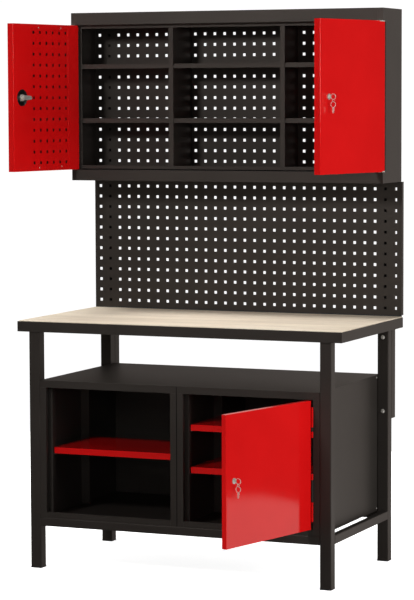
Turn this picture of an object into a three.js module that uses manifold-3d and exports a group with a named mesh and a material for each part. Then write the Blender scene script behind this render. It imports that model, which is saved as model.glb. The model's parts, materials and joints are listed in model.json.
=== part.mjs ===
// Workbench with a lower cabinet, a perforated back wall and an upper cabinet with two doors.
// Millimetres, +Z up, +X to the right seen from the front, +Y to the back.
// Heights are above the floor. Y is 0 at the front of the perforated back wall.
import * as THREE from "three";
import { mergeVertices } from "three/addons/utils/BufferGeometryUtils.js";
import Module from "manifold-3d";

const wasm = await Module();
wasm.setup();

// General fits
const FIT = 0.3;
const HOLE_CLEARANCE = 0.4;
const MERGE_DISTANCE = 1e-4;

// Legs, rails and feet
const LEG_SIZE = 40;
const LEG_WALL = 2;
const TUBE_CORNER = 3;
const LEG_INSET = 40.5;
const LEG_FRONT = -611;
const FOOT_THICK = 5;
const RAIL_HEIGHT = 30;
const RAIL_DEPTH = 25;
const RAIL_BOTTOM = 149;

// Worktop: a board in a steel edge frame
const WORKTOP_WIDTH = 1195;
const WORKTOP_FRONT = -618.5;
const WORKTOP_HEIGHT = 863.5;
const BOARD_PROUD = 3;
const EDGE_HEIGHT = 35;
const EDGE_GAUGE = 3;
const EDGE_FLANGE = 30;
const BOARD_EASE = 1;

// Perforated panels
const PANEL_GAUGE = 1.5;
const PANEL_PITCH = 38;
const PANEL_HOLE = 10;
const PANEL_MARGIN = 20;
const PANEL_FIRST_ROW = 24;
const PANEL_INSET = 4;
const PANEL_ABOVE_BOARD = 4;
const PANEL_RETURN = 18;

// Uprights behind the rear legs, and the bolts that hold them
const UPRIGHT_DEPTH = 35;
const UPRIGHT_BOTTOM = 503;
const UPRIGHT_TOP_DROP = 8;
const LOW_BOLT_ABOVE_END = 29;
const HIGH_BOLT_BELOW_LEG_TOP = 33;
const BOLT_RADIUS = 4;
const BOLT_HEAD_RADIUS = 7.5;
const BOLT_HEAD_HEIGHT = 4.5;
const BOLT_CROWN_RADIUS = 5;
const BOLT_CROWN_HEIGHT = 3.5;
const NUT_HEIGHT = 6.5;

// Sheet metal of both cabinets
const SHEET = 1.5;

// Lower cabinet: two boxes side by side between the legs
const BOX_HEIGHT = 479;
const BOX_TOP_FLANGE = 25;
const BOX_FLOOR_FLANGE = 19;
const BOX_SIDE_FLANGE = 23.5;
const FLANGE_RETURN = 13;
const BACK_GAUGE = 1.2;
const SHELF_RAIL_WIDTH = 32;
const SHELF_RAIL_DEPTH = 20;
const SHELF_RAIL_SETBACK = 30;
const SHELF_RAIL_TOP_GAP = 30;
const LOWER_SHELF_SETBACK = 39;
const LOWER_SHELF_DEPTH = 300;
const LOWER_SHELF_LIP = 21;
const SHELF_END_GAP = 2;
const LEFT_SHELF_HEIGHTS = [421];
const RIGHT_SHELF_HEIGHTS = [525, 380];
const TAB_WIDTH = 14;
const TAB_REACH = 10;
const TAB_GAUGE = 1.4;
const TAB_HEIGHT = 12;

// Upper cabinet
const CABINET_INSET = 7;
const CABINET_BOTTOM = 1335;
const CABINET_HEIGHT = 598;
const CABINET_DEPTH = 195;
const TOP_FASCIA = 43;
const FLOOR_FASCIA = 38;
const FASCIA_RETURN = 27;
const TOP_LIP = 13;
const FLOOR_LIP = 16;
const SIDE_FRONT_FLANGE = 20;
const SIDE_STOP_FLANGE = 29;
const MIDDLE_BAY_WIDTH = 407;
const DIVIDER_FLANGE = 17;
const UPPER_SHELF_SHARES = [0.3712, 0.694];
const UPPER_SHELF_LIP = 16;
const UPPER_SHELF_SETBACK = 3;

// Doors: folded pans; an upper door's side lips are wide and hold a perforated liner between them
const DOOR_SHEET = 1.2;
const DOOR_BEND = 2;
const UPPER_DOOR_THICK = 25;
const UPPER_END_LIP = 16;
const UPPER_HINGE_LIP = 63;
const UPPER_LOCK_LIP = 106;
const LINER_OVERLAP = 12;
const UPPER_DOOR_GAP = 1.5;
const PIVOT_FROM_SIDE = 6;
const PIVOT_FROM_FACE = 8;
const PIVOT_RADIUS = 3;
const PIVOT_REACH = 9;
const BUSH_RADIUS = 4.2;
const LEFT_DOOR_ANGLE = 99.6;
const RIGHT_DOOR_ANGLE = 75.9;
const LOWER_DOOR_THICK = 18;
const LOWER_DOOR_LIP = 12;
const LOWER_DOOR_GAP = 2.5;
const LOWER_DOOR_ANGLE = 75.5;

// Hinges of the lower door, each with a pin, and knuckle heights above the door's lower edge
const KNUCKLE_RADIUS = 3.5;
const HINGE_PIN_RADIUS = 1.5;
const LEAF_GAUGE = 0.8;
const LEAF_DEPTH = 15;
const LONG_KNUCKLE = 66;
const SHORT_KNUCKLE = 20;
const HIGH_FRAME_KNUCKLE = 14;
const LOW_FRAME_KNUCKLE = 74;
const HIGH_HINGE_FROM_TOP = 22;
const LOW_HINGE_FROM_BOTTOM = 26;

// Locks and keys
const UPPER_LOCK_FROM_EDGE = 50;
const LOWER_LOCK_FROM_EDGE = 41;
const ROSETTE_RADIUS = 10;
const ROSETTE_THICK = 2;
const BARREL_RADIUS = 8.5;
const PLUG_RADIUS = 6;
const LOCK_CUP_RADIUS = 29.5;
const LOCK_CUP_BASE_RADIUS = 22;
const LOCK_CUP_WALL = 1.5;
const CAM_GAUGE = 3;
const CAM_WIDTH = 18;
const CAM_BEHIND_PAN = 4.5;
const UPPER_CAM_LENGTH = 47;
const LOWER_CAM_LENGTH = 58;
const KEY_GAUGE = 2;
const KEY_BLADE_WIDTH = 8;
const KEY_BLADE_LENGTH = 14;
const KEY_NECK = 5;
const KEY_BOW_RADIUS = 10;
const KEY_RIM = 1.5;
const RING_RADIUS = 5;
const RING_WIRE = 0.8;

// Round facets
const COARSE = 8;
const ROUND = 12;

// Sizes worked out from the ones above
const LEG_OUTER = WORKTOP_WIDTH / 2 - LEG_INSET;
const LEG_INNER = LEG_OUTER - LEG_SIZE;
const LEG_BACK = PANEL_GAUGE;
const BOLT_X = LEG_OUTER - LEG_SIZE / 2;
const UPRIGHT_FRONT = LEG_BACK + FIT;
const UPRIGHT_BACK = UPRIGHT_FRONT + UPRIGHT_DEPTH;
const EDGE_TOP = WORKTOP_HEIGHT - BOARD_PROUD;
const EDGE_BOTTOM = EDGE_TOP - EDGE_HEIGHT;
const LEG_TOP = EDGE_BOTTOM - FIT;
const RAIL_TOP = RAIL_BOTTOM + RAIL_HEIGHT;
const CABINET_TOP = CABINET_BOTTOM + CABINET_HEIGHT;
const UPPER_SHELF_HEIGHTS = UPPER_SHELF_SHARES.map((share) => CABINET_BOTTOM + share * CABINET_HEIGHT);
const CABINET_SIDE = WORKTOP_WIDTH / 2 - CABINET_INSET;
const UPRIGHT_TOP = CABINET_TOP - UPRIGHT_TOP_DROP;
const BOLT_HEIGHTS = [UPRIGHT_BOTTOM + LOW_BOLT_ABOVE_END, LEG_TOP - HIGH_BOLT_BELOW_LEG_TOP];
const PANEL_WIDTH = WORKTOP_WIDTH - 2 * PANEL_INSET;
const PANEL_BOTTOM = WORKTOP_HEIGHT + PANEL_ABOVE_BOARD;
const PANEL_TOP = CABINET_BOTTOM - FIT;

const BOX_OUTER = LEG_INNER - FIT;
const BOX_FRONT = LEG_FRONT;
const BOX_BOTTOM = RAIL_TOP + FIT;
const BOX_TOP = BOX_BOTTOM + BOX_HEIGHT;
const BOX_BACK = 0;
const WALL_BACK = BOX_BACK - BACK_GAUGE - FIT;
const WALL_TOP = BOX_TOP - SHEET - FIT;
const SEAM = FIT / 2;
const OPENING_TOP = BOX_TOP - BOX_TOP_FLANGE;
const OPENING_BOTTOM = BOX_BOTTOM + BOX_FLOOR_FLANGE;
const LOWER_SHELF_FRONT = BOX_FRONT + LOWER_SHELF_SETBACK;
const LOWER_SHELF_BACK = LOWER_SHELF_FRONT + LOWER_SHELF_DEPTH;
const SHELF_RAIL_FRONTS = [BOX_FRONT + SHELF_RAIL_SETBACK, LOWER_SHELF_BACK - SHELF_RAIL_DEPTH];

const HINGE_EDGE = LOWER_DOOR_GAP / 2;
const HINGE_X = BOX_OUTER - BOX_SIDE_FLANGE - HINGE_EDGE;
const HINGE_Y = BOX_FRONT - KNUCKLE_RADIUS;
const LOWER_DOOR_LOW = OPENING_BOTTOM + LOWER_DOOR_GAP;
const LOWER_DOOR_HIGH = OPENING_TOP - LOWER_DOOR_GAP;
const HIGH_PIN_TOP = LOWER_DOOR_HIGH - HIGH_HINGE_FROM_TOP;
const HIGH_FRAME_TOP = HIGH_PIN_TOP - LONG_KNUCKLE - FIT;
const HIGH_END_TOP = HIGH_FRAME_TOP - HIGH_FRAME_KNUCKLE - FIT;
const HIGH_PIN_BOTTOM = HIGH_END_TOP - SHORT_KNUCKLE;
const LOW_PIN_BOTTOM = LOWER_DOOR_LOW + LOW_HINGE_FROM_BOTTOM;
const LOW_FRAME_BOTTOM = LOW_PIN_BOTTOM + LONG_KNUCKLE + FIT;
const LOW_END_BOTTOM = LOW_FRAME_BOTTOM + LOW_FRAME_KNUCKLE + FIT;
const LOW_PIN_TOP = LOW_END_BOTTOM + SHORT_KNUCKLE;

const STOP_FRONT = -CABINET_DEPTH + FASCIA_RETURN;
const CABINET_BACK = -FIT;
const FASCIA_LOW = CABINET_TOP - TOP_FASCIA;
const FASCIA_HIGH = CABINET_BOTTOM + FLOOR_FASCIA;
const BAY_TOP = FASCIA_LOW - TOP_LIP;
const BAY_FLOOR = FASCIA_HIGH + FLOOR_LIP;
const SIDE_INSIDE = CABINET_SIDE - SHEET;
const DIVIDER_INSIDE = MIDDLE_BAY_WIDTH / 2;
const DIVIDER_OUTSIDE = DIVIDER_INSIDE + SHEET;
const UPPER_SHELF_FRONT = STOP_FRONT + UPPER_SHELF_SETBACK;

// Shapes

// A closed solid from a geometry's merged corners.
function solidOf(geometry) {
  const bare = geometry.clone();
  bare.deleteAttribute("normal");
  bare.deleteAttribute("uv");
  const merged = mergeVertices(bare, MERGE_DISTANCE);
  return new wasm.Manifold(
    new wasm.Mesh({
      numProp: 3,
      vertProperties: merged.attributes.position.array,
      triVerts: new Uint32Array(merged.index.array),
    }),
  );
}

function geometryOf(solid) {
  const mesh = solid.getMesh();
  const geometry = new THREE.BufferGeometry();
  geometry.setAttribute("position", new THREE.BufferAttribute(mesh.vertProperties, 3));
  geometry.setIndex(new THREE.BufferAttribute(mesh.triVerts, 1));
  geometry.computeVertexNormals();
  return geometry;
}

function join(...geometries) {
  return geometryOf(wasm.Manifold.union(geometries.map(solidOf)));
}

function cut(geometry, ...tools) {
  return geometryOf(wasm.Manifold.difference([geometry, ...tools].map(solidOf)));
}

// A box between two corners, in any order of the ends.
function box(xa, xb, ya, yb, za, zb) {
  const geometry = new THREE.BoxGeometry(Math.abs(xb - xa), Math.abs(yb - ya), Math.abs(zb - za));
  return geometry.translate((xa + xb) / 2, (ya + yb) / 2, (za + zb) / 2);
}

function extrude(shape, depth, curveSegments = 2) {
  return new THREE.ExtrudeGeometry(shape, { depth, bevelEnabled: false, curveSegments });
}

// Turns a shape drawn in Y and Z, and extruded along Z, so that it runs along X.
const ALONG_X = new THREE.Matrix4().makeBasis(
  new THREE.Vector3(0, 1, 0),
  new THREE.Vector3(0, 0, 1),
  new THREE.Vector3(1, 0, 0),
);

// Turns a shape drawn in Z and X, and extruded along Z, so that it runs along Y.
const ALONG_Y = new THREE.Matrix4().makeBasis(
  new THREE.Vector3(0, 0, 1),
  new THREE.Vector3(1, 0, 0),
  new THREE.Vector3(0, 1, 0),
);

function roundedRectangle(shape, width, depth, radius) {
  shape.moveTo(radius, 0);
  shape.lineTo(width - radius, 0);
  shape.absarc(width - radius, radius, radius, -Math.PI / 2, 0);
  shape.lineTo(width, depth - radius);
  shape.absarc(width - radius, depth - radius, radius, 0, Math.PI / 2);
  shape.lineTo(radius, depth);
  shape.absarc(radius, depth - radius, radius, Math.PI / 2, Math.PI);
  shape.lineTo(0, radius);
  shape.absarc(radius, radius, radius, Math.PI, 1.5 * Math.PI);
  return shape;
}

// A square tube from its first corner, open at both ends.
function tube(width, depth, length) {
  const shape = roundedRectangle(new THREE.Shape(), width, depth, TUBE_CORNER);
  const bore = roundedRectangle(
    new THREE.Path(),
    width - 2 * LEG_WALL,
    depth - 2 * LEG_WALL,
    TUBE_CORNER - LEG_WALL,
  );
  const points = bore.getPoints(1).map((p) => new THREE.Vector2(p.x + LEG_WALL, p.y + LEG_WALL));
  shape.holes.push(new THREE.Path(points));
  return extrude(shape, length, 1);
}

// A cross-section that follows a line of bends, with the sheet on the line's left side.
function foldedSheet(points, gauge) {
  const line = points.map(([x, y]) => new THREE.Vector2(x, y));
  const turned = line.map((point, i) => {
    const before = i > 0 ? point.clone().sub(line[i - 1]).normalize() : null;
    const after = i < line.length - 1 ? line[i + 1].clone().sub(point).normalize() : null;
    const first = before ?? after;
    const second = after ?? before;
    const normal = new THREE.Vector2(-first.y, first.x);
    const next = new THREE.Vector2(-second.y, second.x);
    const mitre = normal.clone().add(next);
    return point.clone().addScaledVector(mitre, gauge / (1 + normal.dot(next)));
  });
  return new THREE.Shape([...line, ...turned.reverse()]);
}

// A round bar along Y from its front end, from pairs of radius and distance.
function turnedAlongY(profile, segments) {
  const points = profile.map(([radius, y]) => new THREE.Vector2(radius, y));
  return new THREE.LatheGeometry(points, segments);
}

function rodAlongY(radius, ya, yb, segments) {
  return turnedAlongY([[0, ya], [radius, ya], [radius, yb], [0, yb]], segments);
}

function rodAlongZ(radius, za, zb, segments) {
  const rod = turnedAlongY([[0, za], [radius, za], [radius, zb], [0, zb]], segments);
  return rod.rotateX(Math.PI / 2);
}

// Finishes
const FINISHES = {
  frame: { color: 0x3b3835, roughness: 0.55, metalness: 0.2 },
  red: { color: 0xcc1417, roughness: 0.3, metalness: 0.1 },
  wood: { color: 0xd9c7ae, roughness: 0.6, metalness: 0 },
  zinc: { color: 0xb9bab6, roughness: 0.35, metalness: 0.9 },
  black: { color: 0x151515, roughness: 0.6, metalness: 0 },
  chrome: { color: 0xd0d0cc, roughness: 0.2, metalness: 1 },
};

const bench = new THREE.Group();

function piece(parent, name, finish, geometry) {
  const mesh = new THREE.Mesh(geometry, new THREE.MeshStandardMaterial(FINISHES[finish]));
  mesh.name = name;
  parent.add(mesh);
  return mesh;
}

// A plate that closes the end of a tube
function endPlate(depth, thick) {
  return extrude(roundedRectangle(new THREE.Shape(), LEG_SIZE, depth, TUBE_CORNER), thick, 1);
}

// Legs with closed feet, and holes for the upright bolts in the rear pair
function legs() {
  for (const [side, sign] of [["left", -1], ["right", 1]]) {
    const x = sign < 0 ? -LEG_OUTER : LEG_INNER;
    const leg = join(tube(LEG_SIZE, LEG_SIZE, LEG_TOP), endPlate(LEG_SIZE, FOOT_THICK));
    piece(bench, `leg_front_${side}`, "frame", leg.clone().translate(x, LEG_FRONT, 0));
    const rear = leg.translate(x, LEG_BACK - LEG_SIZE, 0);
    const holes = BOLT_HEIGHTS.map((z) =>
      rodAlongY(BOLT_RADIUS + HOLE_CLEARANCE, -LEG_SIZE, LEG_SIZE, COARSE).translate(sign * BOLT_X, 0, z),
    );
    piece(bench, `leg_rear_${side}`, "frame", cut(rear, ...holes));
  }
}

// Rails between the legs, flush with their outer faces
function rails() {
  const across = 2 * (LEG_INNER - FIT);
  const along = tube(RAIL_DEPTH, RAIL_HEIGHT, across).applyMatrix4(ALONG_X);
  piece(bench, "front_rail", "frame", along.clone().translate(-across / 2, LEG_FRONT, RAIL_BOTTOM));
  piece(bench, "rear_rail", "frame", along.translate(-across / 2, LEG_BACK - RAIL_DEPTH, RAIL_BOTTOM));
  const from = LEG_FRONT + LEG_SIZE + FIT;
  const length = LEG_BACK - LEG_SIZE - FIT - from;
  const side = tube(RAIL_HEIGHT, RAIL_DEPTH, length).applyMatrix4(ALONG_Y);
  piece(bench, "left_side_rail", "frame", side.clone().translate(-LEG_OUTER, from, RAIL_BOTTOM));
  piece(bench, "right_side_rail", "frame", side.translate(LEG_OUTER - RAIL_DEPTH, from, RAIL_BOTTOM));
}

function worktop() {
  const half = WORKTOP_WIDTH / 2;
  const inner = half - EDGE_GAUGE;
  const front = WORKTOP_FRONT + EDGE_GAUGE;
  const back = LEG_BACK - EDGE_GAUGE;
  const shelf = EDGE_BOTTOM + EDGE_GAUGE;
  const outside = box(-half, half, WORKTOP_FRONT, LEG_BACK, EDGE_BOTTOM, EDGE_TOP);
  const pocket = box(-inner, inner, front, back, shelf, WORKTOP_HEIGHT);
  const window = box(
    -inner + EDGE_FLANGE,
    inner - EDGE_FLANGE,
    front + EDGE_FLANGE,
    back - EDGE_FLANGE,
    EDGE_BOTTOM - EDGE_GAUGE,
    WORKTOP_HEIGHT,
  );
  piece(bench, "worktop_frame", "frame", cut(outside, pocket, window));

  const bottom = shelf + FIT;
  const outline = new THREE.Shape();
  const margin = FIT + BOARD_EASE;
  outline.moveTo(-inner + margin, front + margin);
  outline.lineTo(inner - margin, front + margin);
  outline.lineTo(inner - margin, back - margin);
  outline.lineTo(-inner + margin, back - margin);
  const board = new THREE.ExtrudeGeometry(outline, {
    depth: WORKTOP_HEIGHT - bottom - 2 * BOARD_EASE,
    bevelThickness: BOARD_EASE,
    bevelSize: BOARD_EASE,
    bevelSegments: 1,
  });
  piece(bench, "worktop_board", "wood", board.translate(0, 0, bottom + BOARD_EASE));
}

// Centres of the panel's columns, as many as its width takes, symmetric about the middle.
function columnCentres() {
  const beside = Math.floor((PANEL_WIDTH / 2 - PANEL_MARGIN) / PANEL_PITCH);
  return Array.from({ length: 2 * beside + 1 }, (_, i) => (i - beside) * PANEL_PITCH);
}

// Heights of the panel's rows, from the lowest up.
function rowCentres() {
  const lowest = PANEL_BOTTOM + PANEL_FIRST_ROW;
  const count = Math.floor((PANEL_TOP - PANEL_MARGIN - lowest) / PANEL_PITCH) + 1;
  return Array.from({ length: count }, (_, i) => lowest + i * PANEL_PITCH);
}

// Bands between two ends: solid ones, and a hole's width at each centre.
function bands(from, to, centres) {
  const half = PANEL_HOLE / 2;
  const list = [];
  let start = from;
  for (const centre of centres) {
    list.push({ start, end: centre - half, hole: false });
    list.push({ start: centre - half, end: centre + half, hole: true });
    start = centre + half;
  }
  list.push({ start, end: to, hole: false });
  return list;
}

// A standing sheet with a hole where a column crosses a row, and both sides folded back
function perforatedSheet(low, high, columns, rows, fold) {
  const half = PANEL_WIDTH / 2;
  const flat = half - PANEL_GAUGE;
  const folded = (start) => ({ start, end: start + PANEL_GAUGE, hole: false, folded: true });
  const across = [folded(-half), ...bands(-flat, flat, columns), folded(flat)];
  const up = bands(low, high, rows);
  const depthAt = (i, k) => {
    if (!across[i] || !up[k] || (across[i].hole && up[k].hole)) return 0;
    return across[i].folded ? fold : PANEL_GAUGE;
  };
  const corners = [];
  const quad = (a, b, c, d) => corners.push(...a, ...b, ...c, ...a, ...c, ...d);
  const layers = [[0, PANEL_GAUGE], [PANEL_GAUGE, fold]];
  across.forEach(({ start: xa, end: xb }, i) => {
    up.forEach(({ start: za, end: zb }, k) => {
      const depth = depthAt(i, k);
      if (depth === 0) return;
      quad([xa, 0, za], [xb, 0, za], [xb, 0, zb], [xa, 0, zb]);
      quad([xa, depth, za], [xa, depth, zb], [xb, depth, zb], [xb, depth, za]);
      for (const [ya, yb] of layers.filter((layer) => layer[1] <= depth)) {
        if (depthAt(i + 1, k) < yb) quad([xb, ya, za], [xb, yb, za], [xb, yb, zb], [xb, ya, zb]);
        if (depthAt(i - 1, k) < yb) quad([xa, ya, za], [xa, ya, zb], [xa, yb, zb], [xa, yb, za]);
        if (depthAt(i, k + 1) < yb) quad([xa, ya, zb], [xb, ya, zb], [xb, yb, zb], [xa, yb, zb]);
        if (depthAt(i, k - 1) < yb) quad([xa, ya, za], [xa, yb, za], [xb, yb, za], [xb, ya, za]);
      }
    });
  });
  const sheet = new THREE.BufferGeometry();
  sheet.setAttribute("position", new THREE.Float32BufferAttribute(corners, 3));
  return sheet;
}

// Perforated panel over the worktop, and the sheet that closes the back of the upper cabinet
function panels() {
  const lower = perforatedSheet(PANEL_BOTTOM, PANEL_TOP, columnCentres(), rowCentres(), PANEL_RETURN);
  const upper = box(-CABINET_SIDE, CABINET_SIDE, 0, PANEL_GAUGE, CABINET_BOTTOM, CABINET_TOP);
  piece(bench, "lower_panel", "frame", lower);
  piece(bench, "upper_panel", "frame", upper);
}

// Uprights closed at both ends, with holes for the bolts
function uprights() {
  const height = UPRIGHT_TOP - UPRIGHT_BOTTOM;
  const plate = endPlate(UPRIGHT_DEPTH, LEG_WALL);
  const plates = [plate, plate.clone().translate(0, 0, height - LEG_WALL)];
  const post = join(tube(LEG_SIZE, UPRIGHT_DEPTH, height), ...plates);
  for (const [side, sign] of [["left", -1], ["right", 1]]) {
    const x = sign < 0 ? -LEG_OUTER : LEG_INNER;
    const holes = BOLT_HEIGHTS.map((z) =>
      rodAlongY(BOLT_RADIUS + HOLE_CLEARANCE, 0, 2 * UPRIGHT_BACK, COARSE).translate(sign * BOLT_X, 0, z),
    );
    const placed = post.clone().translate(x, UPRIGHT_FRONT, UPRIGHT_BOTTOM);
    piece(bench, `${side}_upright`, "frame", cut(placed, ...holes));
  }
}

// Bolts through the rear legs and the uprights, each with its nut on the shank
function uprightBolts() {
  const headFace = LEG_BACK - LEG_SIZE - FIT;
  const nutFace = UPRIGHT_BACK + FIT;
  const profile = [
    [0, headFace - BOLT_HEAD_HEIGHT],
    [BOLT_CROWN_RADIUS, headFace - BOLT_CROWN_HEIGHT],
    [BOLT_HEAD_RADIUS, headFace],
    [BOLT_RADIUS, headFace],
    [BOLT_RADIUS, nutFace],
    [BOLT_HEAD_RADIUS, nutFace],
    [BOLT_HEAD_RADIUS, nutFace + NUT_HEIGHT],
    [0, nutFace + NUT_HEIGHT],
  ];
  for (const [side, x] of [["left", -BOLT_X], ["right", BOLT_X]]) {
    for (const [level, z] of [["low", BOLT_HEIGHTS[0]], ["high", BOLT_HEIGHTS[1]]]) {
      piece(bench, `${side}_${level}_bolt`, "zinc", turnedAlongY(profile, ROUND).translate(x, 0, z));
    }
  }
}

// A channel on a wall's inner face, which carries the shelf tabs
function shelfRail(wall, inward, front) {
  const low = BOX_BOTTOM + SHEET + FIT;
  const foot = wall - inward * SHEET / 2;
  const face = wall + inward * SHELF_RAIL_WIDTH;
  const line = [
    [foot, front],
    [face, front],
    [face, front + SHELF_RAIL_DEPTH],
    [foot, front + SHELF_RAIL_DEPTH],
  ];
  const path = inward > 0 ? line : line.reverse();
  return extrude(foldedSheet(path, SHEET), WALL_TOP - SHELF_RAIL_TOP_GAP - low).translate(0, 0, low);
}

// A hook on a shelf rail, with its tongue under the shelf's lip
function shelfTab(wall, inward, front, seat) {
  const face = wall + inward * SHELF_RAIL_WIDTH;
  const near = front + (SHELF_RAIL_DEPTH - TAB_WIDTH) / 2;
  const tip = face + inward * TAB_REACH;
  const drop = seat - TAB_HEIGHT;
  const section = new THREE.Shape();
  section.moveTo(near, seat - TAB_GAUGE);
  section.lineTo(near + TAB_WIDTH, seat - TAB_GAUGE);
  section.lineTo(near + TAB_WIDTH, seat);
  section.lineTo(near, seat);
  const tongue = extrude(section, TAB_REACH + SHEET / 2).applyMatrix4(ALONG_X);
  const web = box(face - inward * SHEET / 2, face + inward * TAB_GAUGE, near, near + TAB_WIDTH, drop, seat);
  return join(tongue.translate(Math.min(face - inward * SHEET / 2, tip), 0, 0), web);
}

// A lower cabinet wall: its front flange folds inwards and back; inward is +1 towards +X.
function boxWall(x, inward, shelfHeights) {
  const edge = x + inward * BOX_SIDE_FLANGE;
  const line = [
    [edge, BOX_FRONT + FLANGE_RETURN],
    [edge, BOX_FRONT],
    [x, BOX_FRONT],
    [x, WALL_BACK],
  ];
  const path = inward > 0 ? line.reverse() : line;
  const wall = extrude(foldedSheet(path, SHEET), WALL_TOP - BOX_BOTTOM).translate(0, 0, BOX_BOTTOM);
  const headroom = box(
    x - inward * FIT,
    edge + inward * FIT,
    BOX_FRONT - FIT,
    BOX_FRONT + FLANGE_RETURN + FIT,
    OPENING_TOP - FIT,
    BOX_TOP,
  );
  const inside = x + inward * SHEET;
  const rails = SHELF_RAIL_FRONTS.flatMap((front) => [
    shelfRail(inside, inward, front),
    ...shelfHeights.map((top) => shelfTab(inside, inward, front, top - LOWER_SHELF_LIP - FIT)),
  ]);
  return join(cut(wall, headroom), ...rails);
}

// A lower cabinet floor between two walls, with its front edge folded up and back.
function boxFloor(from, to) {
  const line = [
    [WALL_BACK, BOX_BOTTOM],
    [BOX_FRONT, BOX_BOTTOM],
    [BOX_FRONT, OPENING_BOTTOM],
    [BOX_FRONT + FLANGE_RETURN, OPENING_BOTTOM],
  ];
  const length = to - from - 2 * (SHEET + FIT);
  const floor = extrude(foldedSheet(line.reverse(), SHEET), length);
  const sheet = floor.applyMatrix4(ALONG_X).translate(from + SHEET + FIT, 0, 0);
  const corners = [[from, 1], [to, -1]].map(([x, inward]) =>
    box(
      x,
      x + inward * (BOX_SIDE_FLANGE + FIT),
      BOX_FRONT - FIT,
      BOX_FRONT + FLANGE_RETURN + FIT,
      BOX_BOTTOM - FIT,
      OPENING_BOTTOM + FIT,
    ),
  );
  return cut(sheet, ...corners);
}

// A bored knuckle on the hinge axis, with a leaf to the edge that it is welded to
function knuckle(edge, low, high) {
  const barrel = rodAlongZ(KNUCKLE_RADIUS, low, high, ROUND);
  const inner = edge - Math.sign(edge) * LEAF_GAUGE;
  const outer = edge + Math.sign(edge) * LEAF_GAUGE / 2;
  const leaf = box(inner, outer, 0, LEAF_DEPTH, low, high);
  const bore = rodAlongZ(HINGE_PIN_RADIUS + HOLE_CLEARANCE / 2, low - FIT, high + FIT, COARSE);
  return cut(join(barrel, leaf), bore);
}

function frameKnuckles() {
  const high = knuckle(HINGE_EDGE, HIGH_FRAME_TOP - HIGH_FRAME_KNUCKLE, HIGH_FRAME_TOP);
  const low = knuckle(HINGE_EDGE, LOW_FRAME_BOTTOM, LOW_FRAME_BOTTOM + LOW_FRAME_KNUCKLE);
  return join(high, low).translate(HINGE_X, HINGE_Y, 0);
}

function doorKnuckles() {
  return join(
    knuckle(-HINGE_EDGE, HIGH_PIN_TOP - LONG_KNUCKLE, HIGH_PIN_TOP),
    knuckle(-HINGE_EDGE, HIGH_PIN_BOTTOM, HIGH_END_TOP),
    knuckle(-HINGE_EDGE, LOW_PIN_BOTTOM, LOW_PIN_BOTTOM + LONG_KNUCKLE),
    knuckle(-HINGE_EDGE, LOW_END_BOTTOM, LOW_PIN_TOP),
  );
}

function hingePins() {
  const pins = [["high", HIGH_PIN_BOTTOM, HIGH_PIN_TOP], ["low", LOW_PIN_BOTTOM, LOW_PIN_TOP]];
  for (const [level, from, to] of pins) {
    const pin = rodAlongZ(HINGE_PIN_RADIUS, from, to, COARSE).translate(HINGE_X, HINGE_Y, 0);
    piece(bench, `${level}_hinge_pin`, "zinc", pin);
  }
}

function lowerCabinet() {
  const topLine = [
    [BOX_BACK, BOX_TOP],
    [BOX_FRONT, BOX_TOP],
    [BOX_FRONT, OPENING_TOP],
    [BOX_FRONT + FLANGE_RETURN, OPENING_TOP],
  ];
  const top = extrude(foldedSheet(topLine, SHEET), 2 * BOX_OUTER).applyMatrix4(ALONG_X);
  piece(bench, "lower_cabinet_top", "frame", top.translate(-BOX_OUTER, 0, 0));
  const hinges = frameKnuckles();
  piece(bench, "lower_left_side", "frame", boxWall(-BOX_OUTER, 1, LEFT_SHELF_HEIGHTS));
  piece(bench, "lower_left_inner_wall", "frame", boxWall(-SEAM, -1, LEFT_SHELF_HEIGHTS));
  piece(bench, "lower_right_inner_wall", "frame", boxWall(SEAM, 1, RIGHT_SHELF_HEIGHTS));
  piece(bench, "lower_right_side", "frame", join(boxWall(BOX_OUTER, -1, RIGHT_SHELF_HEIGHTS), hinges));
  piece(bench, "lower_left_floor", "frame", boxFloor(-BOX_OUTER, -SEAM));
  piece(bench, "lower_right_floor", "frame", boxFloor(SEAM, BOX_OUTER));
  const back = box(-BOX_OUTER, BOX_OUTER, BOX_BACK - BACK_GAUGE, BOX_BACK, BOX_BOTTOM, WALL_TOP);
  piece(bench, "lower_back", "frame", back);
}

// A tray shelf with its edges folded down
function trayShelf(from, to, front, back, top, lip) {
  const tray = box(from, to, front, back, top - lip, top);
  const hollow = box(from + SHEET, to - SHEET, front + SHEET, back - SHEET, top - lip - FIT, top - SHEET);
  return cut(tray, hollow);
}

// Loose shelves between the rails, resting on the tabs
function lowerShelves() {
  const inset = SHEET + SHELF_RAIL_WIDTH + SHELF_END_GAP;
  const shelves = [
    ["lower_left_shelf", -BOX_OUTER, -SEAM, LEFT_SHELF_HEIGHTS[0]],
    ["lower_right_high_shelf", SEAM, BOX_OUTER, RIGHT_SHELF_HEIGHTS[0]],
    ["lower_right_low_shelf", SEAM, BOX_OUTER, RIGHT_SHELF_HEIGHTS[1]],
  ];
  for (const [name, left, right, top] of shelves) {
    const from = left + inset;
    const to = right - inset;
    const tray = trayShelf(from, to, LOWER_SHELF_FRONT, LOWER_SHELF_BACK, top, LOWER_SHELF_LIP);
    piece(bench, name, "red", tray);
  }
}

// Pivot of an upper door
const PIVOT_X = CABINET_SIDE - PIVOT_FROM_SIDE;
const PIVOT_Y = -CABINET_DEPTH + PIVOT_FROM_FACE;

// A pin riveted into the cabinet's return, with a bush that carries the door
function pivotPin(sign, z) {
  const shank = rodAlongZ(PIVOT_RADIUS, -PIVOT_REACH, PIVOT_REACH, COARSE);
  const length = UPPER_DOOR_GAP - FIT;
  const collar = rodAlongZ(BUSH_RADIUS, -length, length, COARSE);
  return join(shank, collar).translate(sign * PIVOT_X, PIVOT_Y, z);
}

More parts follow.
